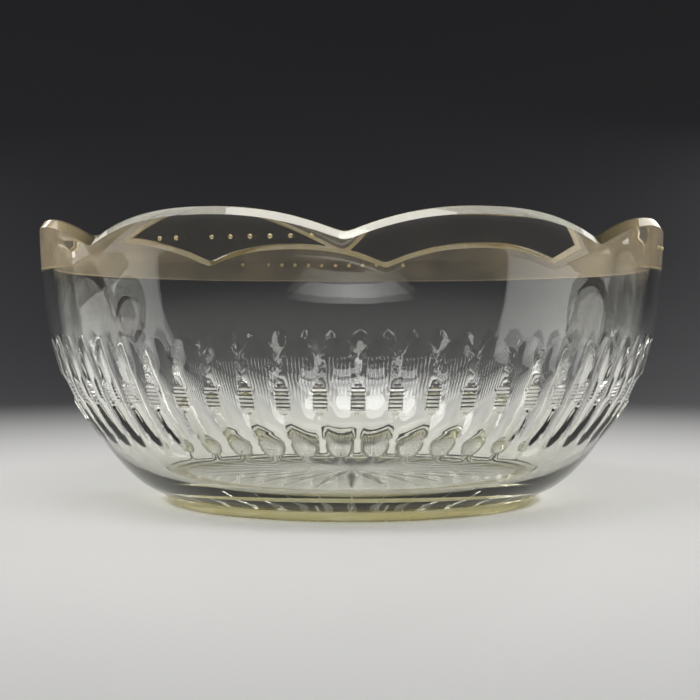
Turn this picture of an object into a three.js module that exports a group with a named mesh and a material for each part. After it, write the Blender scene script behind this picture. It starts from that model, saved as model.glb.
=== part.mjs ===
// A scalloped glass bowl: eight rounded lobes, a band of vertical hollow flutes with laddered ridges,
// a star-cut base on a low foot ring, and what is left of a row of fired gilt dots below the rim.
// Millimetres, +Z up, front towards -Y. The origin is the centre of the face that the bowl stands on.

import * as THREE from 'three';
import { mergeVertices } from 'three/addons/utils/BufferGeometryUtils.js';

const degree = Math.PI / 180;

// Outside of the vessel: a section through foot, belly and rim, with its slopes in degrees from level
const rimRadius = 105;
const rimSlope = 88.2;
const bellyRadius = 89.1;
const bellyHeight = 27.1;
const bellySlope = 51.5;
const heelSlope = 16;

// Inside of the vessel
const rimWall = 3.8; // glass thickness at the rim
const bellyWall = 3.9; // and at the belly
const innerBellySlope = 49.8;
const floorThickness = 5.6;
const floorRadius = 62; // the flat part of the floor
const floorSlope = 3; // where the wall leaves the floor

// Scalloped rim, with its outer edge ground to a bevel
const crestHeight = 93;
const scallopDepth = 8; // from the crests of the lobes down to the notches
const lobeFullness = 2.3; // 2 makes a lobe a parabola, more makes it fuller beside its notches
const notchTurns = [-1, 44, 87.5, 131.5, 172, 213.5, 263.5, 314]; // degrees from the front towards +X
const bevelHeight = 2.4;
const bevelWidth = 1.6;
const innerEdge = 0.9; // softening of the inner edge

// Hollow flutes, meeting in sharp ridges
const fluteCount = 56;
const fluteBottom = 22;
const fluteTop = 56.5;
const fluteRadius = 11.8; // across a flute, as its grinding wheel leaves it
const fluteTopBluntness = 2.2; // 2 rounds an end off like an ellipse, more makes it blunter
const fluteBottomBluntness = 4;
const ridgeTurn = 1.1; // of the first ridge, in degrees from the front towards +X

// Ladder of short notches across each ridge
const ladderBottom = 34.2;
const ladderTop = 43.4;
const ladderNotches = 8;
const ladderDepth = 0.9;
const ladderLandDepth = 0.68; // how far the ridge is taken down between the notches
const ladderBluntness = 4;

// Star cut into the underside, inside the foot ring
const starRays = 32;
const starMargin = 3.8; // between the star's tips and the foot ring
const starWaist = 19; // where neighbouring rays stop running into each other
const starDepth = 2;
const starRidgeDrop = 0.35; // how far the ridges between the rays lie under the face at the waist

// Foot ring
const footTopRadius = 64.2;
const footTaper = 1.8; // how far its outside comes in from its top to the bevel at the table
const footBevel = 0.8;
const footHeight = 3;
const footWidth = 6.4;
const footSeam = 0.3; // parting between the ring and the vessel

// Gilt dots: turn of each run's first slot from the front towards +X, and the slots still gilt
const dotDrop = 8.8; // below the crests of the lobes
const dotSpacing = 5.75; // along the wall
const dotRadius = 0.8;
const dotRise = 0.35;
const dotSeat = 0.05; // parting between a dot's back and the wall
const dotRuns = [
  { start: -31.2, slots: [0, 1, 3, 4, 5, 6, 7, 8] },
  { start: 68.5, slots: [0, 1, 2] },
  { start: 168, slots: [0, 2, 3, 4, 5, 6, 7, 8, 9, 10, 12] },
];

// How finely the round forms are faceted
const rimSteps = 14; // across each lobe
const fluteSteps = 4; // per flute
const ladderSideRows = 2; // beside the notches
const pathSteps = 40; // per stretch of a section
const heelRows = 4;
const innerRows = 9;
const rowCrowding = 1.6; // 1 spaces these rows evenly, more crowds them towards the foot
const fluteLowRows = [0, 0.08, 0.3, 1]; // shares of the way from the flutes' bottom to the ladder
const fluteHighRows = [0, 0.4, 0.75, 0.93, 1]; // and from the ladder to the flutes' top
const upperRows = [0.2, 0.5, 0.8]; // and from there to the rim's bevel
const footSteps = 96;
const dotSteps = 8;
const domeSteps = 2;
const weldDistance = 1e-4;

const vesselBase = footHeight + footSeam;
const floorTop = vesselBase + floorThickness;
const dotHeight = crestHeight - dotDrop;
const footInnerRadius = footTopRadius - footWidth;
const footRadius = footTopRadius - footTaper;
const starRadius = footInnerRadius - starMargin;

const glass = new THREE.MeshStandardMaterial({
  color: 0xe6ead8,
  roughness: 0.04,
  metalness: 0,
  transparent: true,
  opacity: 0.35,
});
const footGlass = glass.clone();
footGlass.color.set(0xd9d9a0);
const gilt = new THREE.MeshStandardMaterial({ color: 0xc99a3c, roughness: 0.35, metalness: 1 });

// One stretch of a section, leaving its start and reaching its end at the slopes given
function stretch(start, startSlope, end, endSlope) {
  const handle = start.distanceTo(end) / 3;
  const aim = (slope) => new THREE.Vector2(handle, 0).rotateAround(new THREE.Vector2(), slope * degree);
  return new THREE.CubicBezierCurve(
    start,
    start.clone().add(aim(startSlope)),
    end.clone().sub(aim(endSlope)),
    end,
  );
}

// Points of a wall's section in radius and height, from the foot through the belly to the rim
function wallSection(foot, footSlope, belly, slope, rim) {
  const path = new THREE.CurvePath();
  path.add(stretch(foot, footSlope, belly, slope));
  path.add(stretch(belly, slope, rim, rimSlope));
  return path.getPoints(pathSteps);
}

// The point of a section at a height, moved off it by an offset along its normal, into the glass
function sectionPoint(section, height, offset = 0) {
  const last = section.length - 1;
  const next = section.findIndex((point, i) => i > 0 && (point.y >= height || i === last));
  const from = section[next - 1];
  const to = section[next];
  const share = (height - from.y) / (to.y - from.y);
  const point = from.clone().lerp(to, share);
  const along = to.clone().sub(from).normalize();
  return point.add(new THREE.Vector2(-along.y, along.x).multiplyScalar(offset));
}

// Turns in degrees, all measured from the front (-Y) towards +X
function evenTurns(count, start) {
  return Array.from({ length: count }, (_, i) => start + (360 * i) / count);
}

function pointAt(turn, radius, height) {
  return new THREE.Vector3(radius * Math.sin(turn * degree), -radius * Math.cos(turn * degree), height);
}

// A ring of points round the axis; shape gives radius (x) and height (y) of each
function ring(turns, shape) {
  return turns.map((turn, i) => {
    const { x: radius, y: height } = shape(i);
    return { turn, point: pointAt(turn, radius, height) };
  });
}

// Joins one ring to the next with triangles, whatever their counts
function bridgeRings(lower, upper) {
  const triangles = [];
  const at = (loop, i) => loop[i % loop.length].point;
  const reach = (loop, i) => {
    if (loop.length === 1 || i >= loop.length) return Infinity;
    return i + 1 < loop.length ? loop[i + 1].turn : loop[0].turn + 360;
  };
  let i = 0;
  let j = 0;
  while (reach(lower, i) < Infinity || reach(upper, j) < Infinity) {
    if (reach(lower, i) <= reach(upper, j)) {
      triangles.push(at(lower, i), at(lower, i + 1), at(upper, j));
      i += 1;
    } else {
      triangles.push(at(lower, i), at(upper, j + 1), at(upper, j));
      j += 1;
    }
  }
  return triangles;
}

// Joins two upright columns of points, the second one step further round
function bridgeColumns(near, far) {
  const triangles = [];
  let i = 0;
  let j = 0;
  while (i < near.length - 1 || j < far.length - 1) {
    const nearNext = i < near.length - 1 ? near[i + 1].z : Infinity;
    const farNext = j < far.length - 1 ? far[j + 1].z : Infinity;
    if (nearNext <= farNext) {
      triangles.push(near[i], far[j], near[i + 1]);
      i += 1;
    } else {
      triangles.push(near[i], far[j], far[j + 1]);
      j += 1;
    }
  }
  return triangles;
}

const outerWall = wallSection(
  new THREE.Vector2(footTopRadius, vesselBase),
  heelSlope,
  new THREE.Vector2(bellyRadius, bellyHeight),
  bellySlope,
  new THREE.Vector2(rimRadius, crestHeight),
);
const bellyNormal = new THREE.Vector2(-Math.sin(bellySlope * degree), Math.cos(bellySlope * degree));
const innerWall = wallSection(
  new THREE.Vector2(floorRadius, floorTop),
  floorSlope,
  new THREE.Vector2(bellyRadius, bellyHeight).addScaledVector(bellyNormal, bellyWall),
  innerBellySlope,
  new THREE.Vector2(rimRadius - rimWall, crestHeight),
);

const rimTurns = notchTurns.flatMap((start, lobe) => {
  const end = lobe + 1 < notchTurns.length ? notchTurns[lobe + 1] : notchTurns[0] + 360;
  return Array.from({ length: rimSteps }, (_, i) => start + ((end - start) * i) / rimSteps);
});
const fluteTurns = evenTurns(fluteCount * fluteSteps, ridgeTurn);
const starTurns = evenTurns(2 * starRays, 0);

// Height of the rim at one of its columns: each lobe is a shallow arch between two notches
function rimHeight(column) {
  const across = (2 * (column % rimSteps)) / rimSteps - 1;
  return crestHeight - scallopDepth * Math.abs(across) ** lobeFullness;
}

// Depth of the flutes at a height: hollow across each flute, rounded off at its top and bottom
function fluteCut(height, column) {
  const chord = (2 * Math.PI * sectionPoint(outerWall, height).x) / fluteCount;
  const depth = chord ** 2 / (8 * fluteRadius);
  const along = (2 * (height - fluteBottom)) / (fluteTop - fluteBottom) - 1;
  const across = (2 * (column % fluteSteps)) / fluteSteps - 1;
  const bluntness = along > 0 ? fluteTopBluntness : fluteBottomBluntness;
  return depth * Math.max(0, 1 - Math.abs(along) ** bluntness - across ** 2);
}

// The star: a point in the middle, grooves between ridges at the waist, running out at the tips
function starRings() {
  const groove = (i) => (i % 2 === 0 ? starDepth : starRidgeDrop);
  return [
    ring([0], () => ({ x: 0, y: vesselBase + starDepth })),
    ring(starTurns, (i) => ({ x: starWaist, y: vesselBase + groove(i) })),
    ring(starTurns, () => ({ x: starRadius, y: vesselBase })),
  ];
}

function heelRings() {
  return Array.from({ length: heelRows }, (_, i) => {
    const height = vesselBase + (fluteBottom - vesselBase) * (i / heelRows) ** rowCrowding;
    return ring(rimTurns, () => sectionPoint(outerWall, height));
  });
}

function fluteRing(height) {
  return ring(fluteTurns, (i) => sectionPoint(outerWall, height, fluteCut(height, i)));
}

// Rows of the flutes between two heights, at the shares given
function fluteRings(from, to, shares) {
  return shares.map((share) => fluteRing(from + (to - from) * share));
}

// The laddered stretch is built column by column, because only the ridges carry the notches
function ladderBand() {
  const columns = fluteTurns.map((turn, i) => {
    const onRidge = i % fluteSteps === 0;
    const steps = onRidge ? 2 * ladderNotches : ladderSideRows;
    return Array.from({ length: steps + 1 }, (_, row) => {
      const height = ladderBottom + ((ladderTop - ladderBottom) * row) / steps;
      const taper = 1 - Math.abs((2 * row) / steps - 1) ** ladderBluntness;
      const notch = row % 2 === 1 ? ladderDepth : ladderLandDepth;
      const cut = onRidge ? notch * taper : 0;
      const { x: radius, y } = sectionPoint(outerWall, height, fluteCut(height, i) + cut);
      return pointAt(turn, radius, y);
    });
  });
  return columns.flatMap((near, i) => bridgeColumns(near, columns[(i + 1) % columns.length]));
}

// Plain upper wall: its rows follow the scallops more and more towards the rim
function upperRings() {
  return upperRows.map((share) =>
    ring(rimTurns, (i) => {
      const top = rimHeight(i) - bevelHeight;
      return sectionPoint(outerWall, fluteTop + (top - fluteTop) * share);
    }),
  );
}

// Across the rim: the bevel outside, the flat crown and the softened inner edge
function rimRings() {
  const edge = (drop, wall, inset) =>
    ring(rimTurns, (i) => {
      const height = rimHeight(i) - drop;
      return { x: sectionPoint(wall, height).x + inset, y: height };
    });
  return [
    edge(bevelHeight, outerWall, 0),
    edge(0, outerWall, -bevelWidth),
    edge(0, innerWall, innerEdge),
    edge(innerEdge, innerWall, 0),
  ];
}

// Inner wall from the rim down to the flat floor, closing on the axis
function innerRings() {
  const walls = Array.from({ length: innerRows }, (_, row) =>
    ring(rimTurns, (i) => {
      const share = (1 - (row + 1) / innerRows) ** rowCrowding;
      const top = rimHeight(i) - innerEdge;
      return sectionPoint(innerWall, floorTop + (top - floorTop) * share);
    }),
  );
  return [...walls, ring([0], () => ({ x: 0, y: floorTop }))];
}

function joinRings(rings) {
  return rings.slice(1).flatMap((next, i) => bridgeRings(rings[i], next));
}

function vesselGeometry() {
  const below = [
    ...starRings(),
    ...heelRings(),
    ...fluteRings(fluteBottom, ladderBottom, fluteLowRows),
  ];
  const above = [
    ...fluteRings(ladderTop, fluteTop, fluteHighRows),
    ...upperRings(),
    ...rimRings(),
    ...innerRings(),
  ];
  const points = [...joinRings(below), ...ladderBand(), ...joinRings(above)];
  const soup = new THREE.BufferGeometry().setFromPoints(points);
  const solid = mergeVertices(soup, weldDistance);
  solid.computeVertexNormals();
  return solid;
}

// Turns an outline drawn in radius and height about Z
function turned(outline, steps) {
  return new THREE.LatheGeometry(outline, steps).rotateX(Math.PI / 2);
}

function footGeometry() {
  const outline = [
    [footInnerRadius + footBevel, 0],
    [footRadius - footBevel, 0],
    [footRadius, footBevel],
    [footTopRadius, footHeight],
    [footInnerRadius, footHeight],
    [footInnerRadius, footBevel],
    [footInnerRadius + footBevel, 0],
  ];
  return turned(outline.map((corner) => new THREE.Vector2(...corner)), footSteps);
}

// A flat-backed dome
function dotGeometry() {
  const dome = new THREE.EllipseCurve(0, 0, dotRadius, dotRise, 0, Math.PI / 2).getPoints(domeSteps);
  return turned([new THREE.Vector2(), ...dome], dotSteps);
}

const bowl = new THREE.Group();

function addPiece(name, geometry, material) {
  const piece = new THREE.Mesh(geometry, material);
  piece.name = name;
  bowl.add(piece);
  return piece;
}

addPiece('bowl_body', vesselGeometry(), glass);
addPiece('foot_ring', footGeometry(), footGlass);

// Each dot stands on the wall, its axis along the wall's outward normal
const wallRadius = sectionPoint(outerWall, dotHeight).x;
const slotTurn = dotSpacing / wallRadius / degree;
const dotTurns = dotRuns.flatMap(({ start, slots }) => slots.map((slot) => start + slot * slotTurn));
dotTurns.forEach((turn, i) => {
  const name = `gilt_dot_${String(i + 1).padStart(2, '0')}`;
  const dot = addPiece(name, dotGeometry(), gilt);
  dot.position.copy(pointAt(turn, wallRadius + dotSeat, dotHeight));
  dot.quaternion.setFromUnitVectors(new THREE.Vector3(0, 0, 1), pointAt(turn, 1, 0));
});

export default bowl;
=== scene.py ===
import math
import random

import bmesh
import bpy
from mathutils import Matrix, Vector
from mathutils.geometry import interpolate_bezier


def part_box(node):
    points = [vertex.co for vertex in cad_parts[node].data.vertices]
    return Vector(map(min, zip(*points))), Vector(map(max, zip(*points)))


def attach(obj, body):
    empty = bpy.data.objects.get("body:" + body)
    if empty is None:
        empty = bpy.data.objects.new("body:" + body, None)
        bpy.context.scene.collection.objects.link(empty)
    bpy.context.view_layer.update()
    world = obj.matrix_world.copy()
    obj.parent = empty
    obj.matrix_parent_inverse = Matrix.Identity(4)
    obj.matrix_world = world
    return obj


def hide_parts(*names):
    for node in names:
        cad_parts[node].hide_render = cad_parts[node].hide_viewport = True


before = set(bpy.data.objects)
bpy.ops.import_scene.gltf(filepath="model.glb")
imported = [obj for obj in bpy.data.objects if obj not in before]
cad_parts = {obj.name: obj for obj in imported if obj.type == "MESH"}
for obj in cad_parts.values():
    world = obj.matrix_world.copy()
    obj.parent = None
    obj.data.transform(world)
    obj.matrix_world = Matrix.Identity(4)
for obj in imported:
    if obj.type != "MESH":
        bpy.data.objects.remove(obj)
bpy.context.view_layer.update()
print("frame loaded:", len(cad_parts), "nodes")

mm = 0.001
degree = math.pi / 180
mergeDistance = 0.001 * mm


# Shader maths: a socket that takes part in sums and products
class Sum:
    def __init__(self, finish, socket):
        self.finish = finish
        self.socket = socket

    def join(self, operation, left, right):
        return self.finish.node("ShaderNodeMath", {"operation": operation}, {0: left, 1: right})

    def __add__(self, other):
        return self.join("ADD", self, other)

    def __radd__(self, other):
        return self.join("ADD", other, self)

    def __sub__(self, other):
        return self.join("SUBTRACT", self, other)

    def __rsub__(self, other):
        return self.join("SUBTRACT", other, self)

    def __mul__(self, other):
        return self.join("MULTIPLY", self, other)

    def __rmul__(self, other):
        return self.join("MULTIPLY", other, self)

    def clamped(self, low, high):
        # 0 up to the low value, 1 from the high one on, and a smooth step between them
        smooth = {"interpolation_type": "SMOOTHSTEP"}
        span = {"From Min": low, "From Max": high, "To Min": 0.0, "To Max": 1.0}
        return self.finish.node("ShaderNodeMapRange", smooth, {0: self, **span})

    def between(self, first, last):
        # the first value where this is 0, and the last where it is 1
        return first + self * (last - first)


class Finish:
    def __init__(self, name):
        self.material = bpy.data.materials.new(name)
        self.material.use_nodes = True
        self.tree = self.material.node_tree
        self.tree.nodes.clear()
        self.output = self.tree.nodes.new("ShaderNodeOutputMaterial")

    def node(self, kind, settings=None, inputs=None, output=0):
        made = self.tree.nodes.new(kind)
        for key, value in (settings or {}).items():
            setattr(made, key, value)
        for key, value in (inputs or {}).items():
            if isinstance(value, Sum):
                self.tree.links.new(value.socket, made.inputs[key])
            else:
                made.inputs[key].default_value = value
        return Sum(self, made.outputs[output])

    def place(self):
        return self.node("ShaderNodeTexCoord", output="Object")

    def along(self, axis):
        return self.node("ShaderNodeSeparateXYZ", inputs={0: self.place()}, output=axis)

    def distance(self, axes=(1, 1, 1)):
        # how far a point lies from the origin, counting only the axes marked with 1
        counted = {0: self.place(), 1: axes}
        flat = self.node("ShaderNodeVectorMath", {"operation": "MULTIPLY"}, counted)
        return self.node("ShaderNodeVectorMath", {"operation": "LENGTH"}, {0: flat}, output="Value")

    def noise(self, scale, detail, stretch=(1, 1, 1)):
        mapped = self.node("ShaderNodeMapping", inputs={"Vector": self.place(), "Scale": stretch})
        inputs = {"Vector": mapped, "Scale": scale, "Detail": detail}
        return self.node("ShaderNodeTexNoise", inputs=inputs)

    def patches(self, scale, detail, low, high, stretch=(1, 1, 1)):
        return self.noise(scale, detail, stretch).clamped(low, high)

    def mixed(self, share, first, second):
        settings = {"data_type": "RGBA"}
        return self.node("ShaderNodeMix", settings, {0: share, 6: first, 7: second}, output=2)

    def bump(self, height, strength, distance):
        inputs = {"Height": height, "Strength": strength, "Distance": distance}
        return self.node("ShaderNodeBump", inputs=inputs)

    def waves(self, scale, detail, strength, distance):
        return self.bump(self.noise(scale, detail), strength, distance)

    def wire(self, surface, volume=None):
        self.tree.links.new(surface.socket, self.output.inputs["Surface"])
        if volume:
            self.tree.links.new(volume.socket, self.output.inputs["Volume"])
        return self.material


# The camera stands a little above the table and below the rim, as in the photograph
shot = {
    "distance": 0.504,
    "height": 0.062,
    "lens": 75.33,
    "sensor": 36.0,
    "tilt": -1.287,
    "pan": 0.059,
}


def makeCamera():
    data = bpy.data.cameras.new("photoCamera")
    data.lens = shot["lens"]
    data.sensor_width = shot["sensor"]
    camera = bpy.data.objects.new("photoCamera", data)
    camera.location = (0, -shot["distance"], shot["height"])
    camera.rotation_euler = ((90 + shot["tilt"]) * degree, 0, shot["pan"] * degree)
    bpy.context.scene.collection.objects.link(camera)
    bpy.context.scene.camera = camera


makeCamera()
print("camera set")

# The vessel, by the sizes of its frame. Turns are in degrees from the front towards +X, slopes in
# degrees from level, and an edge past its sharpAngle isn't shaded smooth
vesselLow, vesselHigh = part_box("bowl_body")
footLow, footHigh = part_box("foot_ring")

vessel = {
    "rimRadius": 105 * mm,
    "rimSlope": 88.2,
    "bellyRadius": 89.1 * mm,
    "bellyHeight": 27.1 * mm,
    "bellySlope": 51.5,
    "heelRadius": footHigh.x,
    "heelSlope": 16,
    "underside": vesselLow.z,
    "rimWall": 3.8 * mm,
    "bellyWall": 3.9 * mm,
    "innerBellySlope": 49.8,
    "floorRadius": 62 * mm,
    "floorSlope": 3,
    "floorThickness": 5.6 * mm,
    "sharpAngle": 24,
}
lobes = {
    "crest": vesselHigh.z,
    "depth": 8 * mm,
    "fullness": 2.3,
    "notchTurns": [-47.7, -1, 44, 87.5, 129.3, 172, 214, 263.5, 312.3],
    "notchRounding": 0.035,
}
# A cut with a blunter end stays deep for longer before it runs out
flutes = {
    "count": 56,
    "bottom": 22 * mm,
    "top": 56.5 * mm,
    "topMargin": 1 * mm,
    "wheelRadius": 11.8 * mm,
    "topBluntness": 2.2,
    "bottomBluntness": 4,
    "ridgeTurn": 1.1,
    "sharpAngle": 10,
    # where the columns of the mesh stand between one ridge and the next
    "columns": [0, 0.09, 0.17, 0.22, 0.3, 0.4, 0.5, 0.6, 0.7, 0.78, 0.83, 0.91],
}
ladder = {
    "bottom": 34.2 * mm,
    "top": 43.4 * mm,
    "notches": 8,
    "depth": 0.9 * mm,
    "landDepth": 0.68 * mm,
    "topBluntness": 3,
    "bottomBluntness": 7,
}
star = {
    "rays": 32,
    "radius": 54 * mm,
    "waist": 19 * mm,
    "depth": 2 * mm,
    "ridgeDrop": 0.35 * mm,
}
# Across the rim: how far below its top, and how far in from the outer wall
bevelRows = [(2.4 * mm, 0), (0.35 * mm, 1.4 * mm), (0.1 * mm, 1.62 * mm), (0, 1.9 * mm)]
# and how far below its top, and how far out from the inner wall
innerEdgeRows = [(0, 1.1 * mm), (0.12 * mm, 0.55 * mm), (0.4 * mm, 0.16 * mm), (0.9 * mm, 0)]
# How many rings each stretch of the mesh has, and the power by which they crowd towards one end
rings = {
    "curvePoints": 80,
    "star": 10,
    "starCrowding": 1.3,
    "heel": 10,
    "heelCrowding": 1.6,
    "lowFlutes": 12,
    "highFlutes": 15,
    "fluteCrowding": 1.8,
    "upperShares": [0, 0.17, 0.34, 0.5, 0.67, 0.84],
    "inner": 26,
    "innerCrowding": 1.6,
    "floorShares": [1, 0.66, 0.33],
}
columnCount = flutes["count"] * len(flutes["columns"])


def heading(slope):
    return Vector((math.cos(slope * degree), math.sin(slope * degree)))


def curve(start, startSlope, end, endSlope):
    # a smooth curve between two points of a section, with a slope at each
    handle = (end - start).length / 3
    startHandle = start + heading(startSlope) * handle
    endHandle = end - heading(endSlope) * handle
    return interpolate_bezier(start, startHandle, endHandle, end, rings["curvePoints"])


def wallSection(footPoint, footSlope, belly, slope, rim):
    lower = curve(footPoint, footSlope, belly, slope)
    return lower + curve(belly, slope, rim, vessel["rimSlope"])[1:]


def sectionAt(section, height):
    # radius and outward normal of a section at a height
    for start, end in zip(section, section[1:]):
        if end.y >= height:
            break
    share = (height - start.y) / (end.y - start.y)
    along = (end - start).normalized()
    return start.x + (end.x - start.x) * share, Vector((along.y, -along.x))


belly = Vector((vessel["bellyRadius"], vessel["bellyHeight"]))
bellyLean = vessel["bellySlope"] * degree
inward = Vector((-math.sin(bellyLean), math.cos(bellyLean)))
floorTop = vessel["underside"] + vessel["floorThickness"]
outerWall = wallSection(
    Vector((vessel["heelRadius"], vessel["underside"])),
    vessel["heelSlope"],
    belly,
    vessel["bellySlope"],
    Vector((vessel["rimRadius"], lobes["crest"])),
)
innerWall = wallSection(
    Vector((vessel["floorRadius"], floorTop)),
    vessel["floorSlope"],
    belly + inward * vessel["bellyWall"],
    vessel["innerBellySlope"],
    Vector((vessel["rimRadius"] - vessel["rimWall"], lobes["crest"])),
)


def rimHeight(turn):
    # each lobe is a shallow arch between two slightly rounded notches
    starts = lobes["notchTurns"]
    turn = (turn - starts[0]) % 360 + starts[0]
    for start, end in zip(starts, starts[1:]):
        if turn < end:
            break
    beside = 1 - abs(2 * (turn - start) / (end - start) - 1)
    across = 1 - math.hypot(beside, lobes["notchRounding"])
    return lobes["crest"] - lobes["depth"] * abs(across) ** lobes["fullness"]


def eased(low, high, count, crowding):
    # heights that crowd towards the low end, without the high end itself
    return [low + (high - low) * (i / count) ** crowding for i in range(count)]


def cutHeights():
    # heights of the rings from the underside to just below the tops of the flutes
    heel = eased(vessel["underside"], flutes["bottom"], rings["heel"], rings["heelCrowding"])
    low = eased(flutes["bottom"], ladder["bottom"], rings["lowFlutes"], rings["fluteCrowding"])
    steps = 2 * ladder["notches"]
    climb = ladder["top"] - ladder["bottom"]
    rungs = [ladder["bottom"] + climb * i / steps for i in range(steps)]
    high = eased(flutes["top"], ladder["top"], rings["highFlutes"], rings["fluteCrowding"])
    return heel + low + rungs + [ladder["top"]] + high[:0:-1]


def outlineRows():
    # every ring of the vessel, from the middle of its underside round to the middle of its floor:
    # its kind, and the two numbers that placeOf reads
    rows = [("axis", 0, vessel["underside"])]
    for i in range(1, rings["star"] + 1):
        share = (i / rings["star"]) ** rings["starCrowding"]
        rows.append(("under", star["radius"] * share, vessel["underside"]))
    rows.append(("plain", (star["radius"] + vessel["heelRadius"]) / 2, vessel["underside"]))
    rows += [("outer", 0, height) for height in cutHeights()]
    rows += [("upper", share, 0) for share in rings["upperShares"]]
    rows += [("bevel", drop, inset) for drop, inset in bevelRows]
    rows += [("innerEdge", drop, inset) for drop, inset in innerEdgeRows]
    for i in range(1, rings["inner"]):
        rows.append(("inner", (1 - i / rings["inner"]) ** rings["innerCrowding"], 0))
    rows += [("plain", vessel["floorRadius"] * share, floorTop) for share in rings["floorShares"]]
    rows.append(("axis", 0, floorTop))
    return rows


def cutDepth(turn, height):
    # depth of the flutes, with the laddered patch that lowers each ridge
    place = (turn - flutes["ridgeTurn"]) * flutes["count"] / 360
    across = 2 * (place - math.floor(place)) - 1
    along = 2 * (height - flutes["bottom"]) / (flutes["top"] - flutes["bottom"]) - 1
    chord = 2 * math.pi * sectionAt(outerWall, height)[0] / flutes["count"]
    bluntness = flutes["topBluntness"] if along > 0 else flutes["bottomBluntness"]
    share = max(0, 1 - abs(along) ** bluntness - across * across)
    depth = chord ** 2 / (8 * flutes["wheelRadius"]) * share
    climb = (height - ladder["bottom"]) / (ladder["top"] - ladder["bottom"])
    if 0 < climb < 1:
        bluntness = ladder["topBluntness"] if climb > 0.5 else ladder["bottomBluntness"]
        taper = 1 - abs(2 * climb - 1) ** bluntness
        step = climb * ladder["notches"]
        notch = 1 - abs(2 * (step - math.floor(step)) - 1)
        land = ladder["landDepth"]
        depth = max(depth, (land + (ladder["depth"] - land) * notch) * taper)
    return depth


def starDepth(turn, radius):
    # V grooves that run out at the tips and meet in ridges inside the waist
    pitch = 360 / star["rays"]
    aside = abs(turn / pitch - round(turn / pitch)) * pitch * degree * radius
    full = star["depth"] * min(1, (star["radius"] - radius) / (star["radius"] - star["waist"]))
    slope = (star["depth"] - star["ridgeDrop"]) / (math.pi * star["waist"] / star["rays"])
    return max(0, full - aside * slope)


def placeOf(row, turn):
    # radius and height of a ring's point at a turn
    kind, first, second = row
    if kind == "outer":
        radius, normal = sectionAt(outerWall, second)
        point = Vector((radius, second)) - normal * cutDepth(turn, second)
        return point.x, point.y
    if kind == "under":
        return first, second + starDepth(turn, first)
    if kind == "upper":
        top = rimHeight(turn) - bevelRows[0][0]
        height = flutes["top"] + (top - flutes["top"]) * first
        return sectionAt(outerWall, height)[0], height
    if kind == "bevel":
        height = rimHeight(turn) - first
        return sectionAt(outerWall, height)[0] - second, height
    if kind == "innerEdge":
        height = rimHeight(turn) - first
        return sectionAt(innerWall, height)[0] + second, height
    if kind == "inner":
        top = rimHeight(turn) - innerEdgeRows[-1][0]
        height = floorTop + (top - floorTop) * first
        return sectionAt(innerWall, height)[0], height
    return first, second


def turned(mesh, profile, steps):
    # spins a line of points round the axis and closes the mesh
    edges = [mesh.edges.new(pair) for pair in zip(profile, profile[1:])]
    bmesh.ops.spin(
        mesh, geom=profile + edges, cent=(0, 0, 0), axis=(0, 0, 1),
        angle=2 * math.pi, steps=steps, use_merge=True,
    )
    bmesh.ops.remove_doubles(mesh, verts=mesh.verts, dist=mergeDistance)


def finished(mesh, name, sharpAngle, cutTop=0, cutAngle=0):
    # edges stay sharp over an angle, and over a smaller one below the top of the cutting
    bmesh.ops.recalc_face_normals(mesh, faces=mesh.faces)
    for face in mesh.faces:
        face.smooth = True
    for edge in mesh.edges:
        cut = max(vert.co.z for vert in edge.verts) < cutTop
        edge.smooth = edge.calc_face_angle(0) < (cutAngle if cut else sharpAngle) * degree
    data = bpy.data.meshes.new(name)
    mesh.to_mesh(data)
    mesh.free()
    return data


def addPiece(name, data, slot, *nodes):
    piece = bpy.data.objects.new(name, data)
    bpy.context.scene.collection.objects.link(piece)
    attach(piece, "root")
    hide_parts(*nodes)
    return piece


def fluteTurn(column):
    # columns stand closer beside the ridges
    flute, step = divmod(column, len(flutes["columns"]))
    return flutes["ridgeTurn"] + (flute + flutes["columns"][step]) * 360 / flutes["count"]


def starTurn(column):
    # every groove and every ridge between two grooves has its own column
    perRay = columnCount // star["rays"]
    ridge = perRay // 2 + 1
    ray, step = divmod(column, perRay)
    share = step / ridge / 2 if step < ridge else 0.5 + (step - ridge) / (perRay - ridge) / 2
    return (ray + share) * 360 / star["rays"]


def markRimEdge(mesh, rows, layer):
    # marks the faces of the bevel, which the finish gilds and darkens with a painted grey shade
    firstEdgeRow = [row[0] for row in rows].index("bevel")
    mark = mesh.faces.layers.float.new("rimEdge")
    for face in mesh.faces:
        face[mark] = all(0 <= vert[layer] - firstEdgeRow <= len(bevelRows) for vert in face.verts)


def makeVessel():
    rows = outlineRows()
    mesh = bmesh.new()
    layer = mesh.verts.layers.int.new("row")
    profile = []
    for i, row in enumerate(rows):
        radius, height = placeOf(row, flutes["ridgeTurn"])
        point = mesh.verts.new((radius, 0, height))
        point[layer] = i
        profile.append(point)
    turned(mesh, profile, columnCount)
    for vert in mesh.verts:
        row = rows[vert[layer]]
        if row[0] == "axis":
            continue
        column = round(math.atan2(vert.co.y, vert.co.x) / degree * columnCount / 360) % columnCount
        turn = starTurn(column) if row[0] == "under" else fluteTurn(column)
        radius, height = placeOf(row, turn)
        vert.co = (radius * math.sin(turn * degree), -radius * math.cos(turn * degree), height)
    # the grooves of the star meet at their full depth in the middle
    middle = min(mesh.verts, key=lambda vert: vert.co.to_2d().length + vert.co.z)
    middle.co.z += star["depth"]
    markRimEdge(mesh, rows, layer)
    cutTop = flutes["top"] + flutes["topMargin"]
    data = finished(mesh, "bowlGlass", vessel["sharpAngle"], cutTop, flutes["sharpAngle"])
    return addPiece("bowlGlass", data, "clear_glass", "bowl_body")


foot = {
    "inner": 57.8 * mm,
    "tableRadius": 62.4 * mm,
    "sides": 224,
    "bevel": 0.8 * mm,
    "bevelSegments": 4,
    "softening": 0.2 * mm,
    "softeningSegments": 2,
    "levelWithin": 0.01 * mm,
    "cornerAngle": 40,
    "sharpAngle": 50,
}


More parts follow.
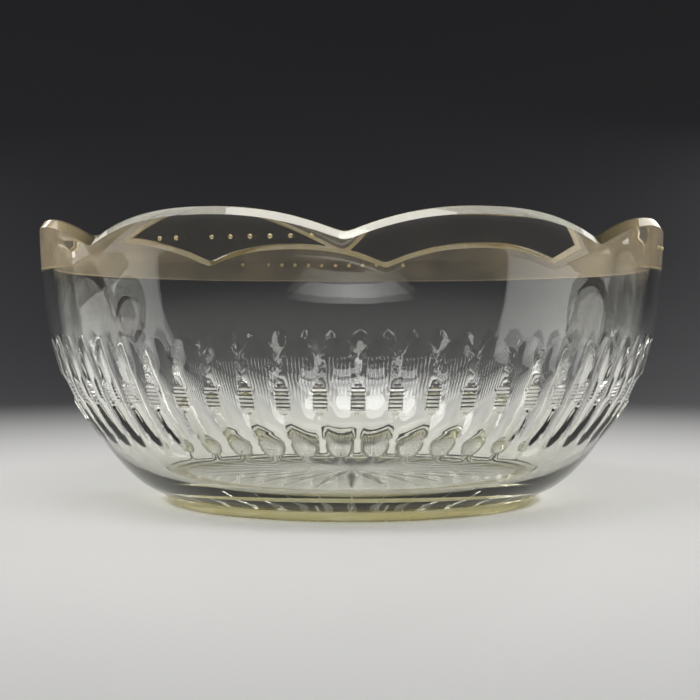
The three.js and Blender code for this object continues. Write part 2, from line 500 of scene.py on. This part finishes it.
def roundCorners(mesh, atTable, width, segments):
    # rounds the ring's corners, either the ones at the table or the ones under the vessel
    corners = [
        edge for edge in mesh.edges
        if abs(edge.verts[0].co.z - edge.verts[1].co.z) < foot["levelWithin"]
        and edge.calc_face_angle(0) > foot["cornerAngle"] * degree
        and (edge.verts[0].co.z < footHigh.z / 2) == atTable
    ]
    bmesh.ops.bevel(
        mesh, geom=corners, offset=width, affect="EDGES", segments=segments,
        profile=0.5, material=-1,
    )


def makeFoot():
    mesh = bmesh.new()
    corners = [
        (foot["inner"], footLow.z),
        (foot["tableRadius"], footLow.z),
        (footHigh.x, footHigh.z),
        (foot["inner"], footHigh.z),
    ]
    profile = [mesh.verts.new((radius, 0, height)) for radius, height in corners + corners[:1]]
    turned(mesh, profile, foot["sides"])
    roundCorners(mesh, True, foot["bevel"], foot["bevelSegments"])
    roundCorners(mesh, False, foot["softening"], foot["softeningSegments"])
    data = finished(mesh, "footGlass", foot["sharpAngle"])
    return addPiece("footGlass", data, "foot_glass", "foot_ring")


# In a finish, a pair in mm is where a smooth step starts and ends, and any other pair is a value
# where its mask is 0 and where it is 1. Low and high are the part of a noise that counts
glassLook = {"ior": 1.52, "shadowPassed": 0.6}

vesselLook = {
    "tint": (0.99, 0.992, 0.985, 1),
    "depthTint": (0.93, 0.95, 0.35, 1),
    "density": 9,
    "smears": {"scale": 220, "detail": 4, "low": 0.55, "high": 0.8},
    "smearRoughness": 0.01,
    "waves": {"scale": 36, "detail": 2, "strength": 0.5, "distance": 0.035 * mm},
}
lustreLook = {
    "tint": (0.95, 0.86, 0.72, 1),
    "tintShare": 0.5,
    "colour": (0.95, 0.77, 0.52, 1),
    "share": 0.3,
    "roughness": 0.4,
    "metallic": 0.25,
    "bottom": 77.4 * mm,
    "lineWidth": 0.35 * mm,
    "lineShare": 0.8,
    "wear": {"scale": 60, "detail": 5, "low": 0.3, "high": 0.7, "stretch": (1, 1, 1.6)},
    "wearShare": (0.45, 1),
    "frontToBack": (-80 * mm, -40 * mm),
    "frontShare": (0.07, 1),
    # towards the left and right the band is made stronger, a painted sheen for the wall seen
    # edge-on and the side lamps reflecting in it
    "middleToSideSheen": (50 * mm, 95 * mm),
    "sideSheenShare": (0.22, 0.82),
}
# The worn gilt line on the bevel, and a grey tint on the bevel's glass that is painted shade,
# keeping the pale floor seen through it dark
edgeGiltAndShade = {
    "tint": (0.5, 0.5, 0.47, 1),
    "colour": (0.85, 0.68, 0.33, 1),
    "roughness": 0.4,
    "metallic": 0.55,
    "wear": {"scale": 90, "detail": 5, "low": 0.32, "high": 0.68},
    "wearShare": (0.5, 0.88),
    "frontToBack": (-75 * mm, -10 * mm),
    "frontShare": (0.08, 1),
}
frostLook = {
    "tint": (0.97, 0.97, 0.95, 1),
    "roughness": 0.25,
    "clearness": 0.45,
    "start": (0.02 * mm, 0.2 * mm),
    "end": (2.5 * mm, 3 * mm),
    "reach": (56 * mm, 57 * mm),
    # the middle, where the frost is whiter: this extra white is a painted highlight for the glints
    # of the cut facets
    "middle": (6 * mm, 26 * mm),
    "grain": {"scale": 700, "detail": 4, "low": 0.3, "high": 0.7},
    "share": 0.14,
    "grainShare": 0.16,
    "middleGlintShare": 0.45,
}
speckLook = {
    "colour": (0.8, 0.8, 0.78, 1),
    "roughness": 0.6,
    "scale": 80,
    "size": 0.022,
    "chanceFrom": 0.62,
    "chanceTo": 0.7,
    "share": 0.7,
}


def clearShader(finish, tint, roughness, normal=None, clearness=1.0):
    inputs = {
        "Base Color": tint,
        "Roughness": roughness,
        "IOR": glassLook["ior"],
        "Transmission Weight": clearness,
    }
    if normal:
        inputs["Normal"] = normal
    return finish.node("ShaderNodeBsdfPrincipled", inputs=inputs)


def dullShader(finish, colour, roughness, metallic=0.0):
    inputs = {"Base Color": colour, "Roughness": roughness, "Metallic": metallic}
    return finish.node("ShaderNodeBsdfPrincipled", inputs=inputs)


def over(finish, share, lower, upper):
    return finish.node("ShaderNodeMixShader", inputs={0: share, 1: lower, 2: upper})


def lightPassing(finish, surface):
    # light reaches what stands behind the glass, which keeps a faint shadow
    passed = finish.node("ShaderNodeLightPath", output="Is Shadow Ray") * glassLook["shadowPassed"]
    return over(finish, passed, surface, finish.node("ShaderNodeBsdfTransparent"))


def depthTint(finish, look):
    inputs = {"Color": look["depthTint"], "Density": look["density"]}
    return finish.node("ShaderNodeVolumeAbsorption", inputs=inputs)


def lustreAndSideSheen(finish):
    # a band below the rim with a denser line at its bottom, worn in patches and most at the front,
    # and made stronger at the left and right by painted sheen
    height = finish.along("Z")
    bottom = lustreLook["bottom"]
    width = lustreLook["lineWidth"]
    band = height.clamped(bottom, bottom + width)
    line = band * (1 - height.clamped(bottom + width, bottom + 2 * width))
    wear = finish.patches(**lustreLook["wear"])
    left = band * wear.between(*lustreLook["wearShare"]) + line * lustreLook["lineShare"]
    # painted sheen: the band grows stronger towards the left and right, where the wall is seen
    # edge-on and the side lamps reflect in it
    across = finish.along("X")
    sideStart, sideEnd = lustreLook["middleToSideSheen"]
    sideSheen = (across * across).clamped(sideStart ** 2, sideEnd ** 2)
    shown = finish.along("Y").clamped(*lustreLook["frontToBack"])
    shown = shown * sideSheen.between(*lustreLook["sideSheenShare"])
    return left * shown.between(*lustreLook["frontShare"])


def edgeGiltLeft(finish, edgeMark):
    # the bevel keeps the rest of a gilt line, worn through in patches and most at the front
    wear = finish.patches(**edgeGiltAndShade["wear"])
    shown = finish.along("Y").clamped(*edgeGiltAndShade["frontToBack"])
    return edgeMark * wear.between(*edgeGiltAndShade["wearShare"]) * shown.between(*edgeGiltAndShade["frontShare"])


def frostAndGlintShare(finish):
    # the ground faces inside the star; their extra white in the middle is a painted highlight for
    # the glints of the cut facets
    height = finish.along("Z")
    aside = finish.distance((1, 1, 0))
    start = [vessel["underside"] + rise for rise in frostLook["start"]]
    end = [vessel["underside"] + rise for rise in frostLook["end"]]
    inStar = height.clamped(*start) * (1 - height.clamped(*end))
    inStar = inStar * (1 - aside.clamped(*frostLook["reach"]))
    grain = finish.patches(**frostLook["grain"]) * frostLook["grainShare"]
    # painted highlight: extra white in the middle of the star, standing in for the glints of its
    # cut facets
    middle = (1 - aside.clamped(*frostLook["middle"])) * frostLook["middleGlintShare"]
    return inStar * (frostLook["share"] + grain + middle)


def speckShare(finish):
    # fine specks, one in the middle of each cell that chance picks
    cells = {"Vector": finish.place(), "Scale": speckLook["scale"]}
    near = 1 - finish.node("ShaderNodeTexVoronoi", inputs=cells).clamped(0, speckLook["size"])
    chance = finish.node("ShaderNodeTexVoronoi", inputs=cells, output="Color")
    picked = chance.clamped(speckLook["chanceFrom"], speckLook["chanceTo"])
    return near * picked * speckLook["share"]


def vesselFinish():
    finish = Finish("clearGlass")
    lustre = lustreAndSideSheen(finish)
    edgeMark = finish.node("ShaderNodeAttribute", {"attribute_name": "rimEdge"}, output="Fac")
    tintShare = lustre * lustreLook["tintShare"]
    tint = finish.mixed(tintShare, vesselLook["tint"], lustreLook["tint"])
    # painted shade: the bevel's glass is tinted grey so that the pale floor seen through it stays
    # dark
    tint = finish.mixed(edgeMark, tint, edgeGiltAndShade["tint"])
    roughness = finish.patches(**vesselLook["smears"]) * vesselLook["smearRoughness"]
    surface = clearShader(finish, tint, roughness, finish.waves(**vesselLook["waves"]))
    for share, look in (
        (lustre * lustreLook["share"], lustreLook),
        (edgeGiltLeft(finish, edgeMark), edgeGiltAndShade),
    ):
        metal = dullShader(finish, look["colour"], look["roughness"], look["metallic"])
        surface = over(finish, share, surface, metal)
    frost = clearShader(
        finish, frostLook["tint"], frostLook["roughness"], clearness=frostLook["clearness"],
    )
    surface = over(finish, frostAndGlintShare(finish), surface, frost)
    specks = dullShader(finish, speckLook["colour"], speckLook["roughness"])
    surface = over(finish, speckShare(finish), surface, specks)
    return finish.wire(lightPassing(finish, surface), depthTint(finish, vesselLook))


footLook = {
    "tint": (0.95, 0.9, 0.62, 1),
    "streakTint": (0.9, 0.82, 0.45, 1),
    "streaks": {"scale": 90, "detail": 4, "low": 0.3, "high": 0.7, "stretch": (1, 1, 9)},
    "clearness": 0.6,
    "depthTint": (0.96, 0.93, 0.5, 1),
    "density": 36,
    "waves": {"scale": 120, "detail": 3, "strength": 0.5, "distance": 0.05 * mm},
    "roughness": 0.03,
    "ground": (0.1 * mm, 0.5 * mm),
    "scuffs": {"scale": 900, "detail": 5, "low": 0.4, "high": 0.75},
    "scuffRoughness": (0.12, 0.42),
}


def footFinish():
    finish = Finish("footStraw")
    streaks = finish.patches(**footLook["streaks"])
    tint = finish.mixed(streaks, footLook["tint"], footLook["streakTint"])
    # the ground face at the table is scuffed
    ground = 1 - finish.along("Z").clamped(*footLook["ground"])
    scuffs = finish.patches(**footLook["scuffs"])
    roughness = footLook["roughness"] + ground * scuffs.between(*footLook["scuffRoughness"])
    waves = finish.waves(**footLook["waves"])
    surface = clearShader(finish, tint, roughness, waves, footLook["clearness"])
    return finish.wire(lightPassing(finish, surface), depthTint(finish, footLook))


bowlGlass = makeVessel()
bowlGlass.data.materials.append(vesselFinish())
print("vessel made:", len(bowlGlass.data.polygons), "faces")
footGlass = makeFoot()
footGlass.data.materials.append(footFinish())
print("foot made:", len(footGlass.data.polygons), "faces")

# Each dot is a dome, a little smaller than its node and lopsided in its own way
giltDot = {
    "sides": 20,
    "rows": 5,
    "rise": 0.32 * mm,
    "smallest": 0.9,
    "wobble": 0.12,
    "bulges": 3,
    "phaseSpan": 6,
    "sharpAngle": 60,
    "seed": 12,
}
giltLook = {
    "wear": {"scale": 2200, "detail": 4, "low": 0.35, "high": 0.65},
    "wornColour": (0.42, 0.33, 0.16, 1),
    "colour": (0.86, 0.74, 0.42, 1),
    "metallic": (0.6, 1),
    "roughness": (0.5, 0.28),
    "bumpStrength": 0.4,
    "bumpDistance": 0.05 * mm,
}


def giltFinish():
    finish = Finish("wornGilt")
    left = finish.patches(**giltLook["wear"])
    surface = finish.node(
        "ShaderNodeBsdfPrincipled",
        inputs={
            "Base Color": finish.mixed(left, giltLook["wornColour"], giltLook["colour"]),
            "Metallic": left.between(*giltLook["metallic"]),
            "Roughness": left.between(*giltLook["roughness"]),
            "Normal": finish.bump(left, giltLook["bumpStrength"], giltLook["bumpDistance"]),
        },
    )
    return finish.wire(surface)


def makeDot(node, material, dice):
    # the back of the dome lies on the wall where its node is
    low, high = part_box(node)
    middle = (low + high) / 2
    out = Vector((middle.x, middle.y, 0)).normalized()
    radius = (high.z - low.z) / 2 * dice.uniform(giltDot["smallest"], 1)
    back = sectionAt(outerWall, middle.z)[0]
    mesh = bmesh.new()
    profile = [mesh.verts.new((0, 0, 0))]
    for i in range(giltDot["rows"] + 1):
        lift = math.pi / 2 * i / giltDot["rows"]
        height = giltDot["rise"] * math.sin(lift)
        profile.append(mesh.verts.new((radius * math.cos(lift), 0, height)))
    turned(mesh, profile, giltDot["sides"])
    phase = dice.uniform(0, giltDot["phaseSpan"])
    for vert in mesh.verts:
        swing = math.atan2(vert.co.y, vert.co.x)
        bulge = 0.5 + 0.5 * math.sin(giltDot["bulges"] * swing + phase)
        swell = 1 - giltDot["wobble"] * bulge
        vert.co.x *= swell
        vert.co.y *= swell
    facing = out.to_track_quat("Z", "Y").to_matrix().to_4x4()
    place = Matrix.Translation(out * back + Vector((0, 0, middle.z)))
    bmesh.ops.transform(mesh, matrix=place @ facing, verts=mesh.verts)
    name = "giltDot" + node[-2:]
    data = finished(mesh, name, giltDot["sharpAngle"])
    data.materials.append(material)
    addPiece(name, data, "gilding", node)


gilt = giltFinish()
dice = random.Random(giltDot["seed"])
dotNodes = sorted(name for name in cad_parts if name.startswith("gilt_dot"))
for node in dotNodes:
    makeDot(node, gilt, dice)
print("gilt dots made:", len(dotNodes))

studio = {
    "floorRadius": 0.6,
    "coveRadius": 1.1,
    "coveSteps": 12,
    "wallTop": 2.2,
    "sides": 96,
    "sharpAngle": 60,
    "floorColour": (0.72, 0.71, 0.69, 1),
    "wallColour": (0.035, 0.035, 0.038, 1),
    "fadeStart": 0.14,
    "fadeEnd": 0.62,
    "roughness": 0.85,
    "worldColour": (0.5, 0.52, 0.55, 1),
    "worldStrength": 0.4,
    "lampAim": (0, 0, 0.05),
}
# A spread under 180 degrees is a gridded box, which leaves the wall beside it dark
lamps = {
    "keyBox": {"place": (-0.08, -0.52, 1.3), "size": (1.2, 0.45), "power": 10},
    "frontBox": {"place": (-0.1, -0.9, 1.0), "size": (1.0, 0.25), "power": 4},
    "bandBox": {"place": (0, -1.25, 0.33), "size": (1.9, 0.09), "power": 0.16, "spread": 60},
    "leftBox": {"place": (-0.87, 0.235, 0.345), "size": (1.17, 0.34), "power": 1.35, "spread": 120},
    "rightBox": {"place": (0.735, 0.52, 0.345), "size": (1.17, 0.34), "power": 1.25, "spread": 120},
    "leftStrip": {"place": (-0.62, 1.1, 0.45), "size": (0.12, 0.8), "power": 1.2},
    "rightStrip": {"place": (0.58, 1.15, 0.45), "size": (0.14, 0.8), "power": 2},
}


def sweepFinish():
    finish = Finish("sweepPaint")
    share = finish.distance().clamped(studio["fadeStart"], studio["fadeEnd"])
    colour = finish.mixed(share, studio["floorColour"], studio["wallColour"])
    return finish.wire(dullShader(finish, colour, studio["roughness"]))


def makeStage():
    # a round sweep: a pale floor that fades into a dark wall all round
    mesh = bmesh.new()
    floorRadius, cove = studio["floorRadius"], studio["coveRadius"]
    profile = [mesh.verts.new((0, 0, 0)), mesh.verts.new((floorRadius, 0, 0))]
    for i in range(1, studio["coveSteps"] + 1):
        lift = math.pi / 2 * i / studio["coveSteps"]
        x = floorRadius + cove * math.sin(lift)
        profile.append(mesh.verts.new((x, 0, cove * (1 - math.cos(lift)))))
    profile.append(mesh.verts.new((floorRadius + cove, 0, studio["wallTop"])))
    turned(mesh, profile, studio["sides"])
    data = finished(mesh, "stageSweep", studio["sharpAngle"])
    sweep = bpy.data.objects.new("stageSweep", data)
    bpy.context.scene.collection.objects.link(sweep)
    data.materials.append(sweepFinish())


def makeLamp(name, place, size, power, spread=180):
    data = bpy.data.lights.new(name, "AREA")
    data.shape = "RECTANGLE"
    data.size, data.size_y = size
    data.energy = power
    data.spread = spread * degree
    lamp = bpy.data.objects.new(name, data)
    lamp.location = place
    aim = Vector(studio["lampAim"]) - Vector(place)
    lamp.rotation_euler = aim.to_track_quat("-Z", "Y").to_euler()
    bpy.context.scene.collection.objects.link(lamp)


def makeWorld():
    world = bpy.data.worlds.new("studioAir")
    world.use_nodes = True
    sky = world.node_tree.nodes["Background"]
    sky.inputs["Color"].default_value = studio["worldColour"]
    sky.inputs["Strength"].default_value = studio["worldStrength"]
    bpy.context.scene.world = world


makeStage()
for name, lamp in lamps.items():
    makeLamp(name, **lamp)
makeWorld()
bpy.context.scene.view_settings.view_transform = "Standard"
print("stage and lamps set")
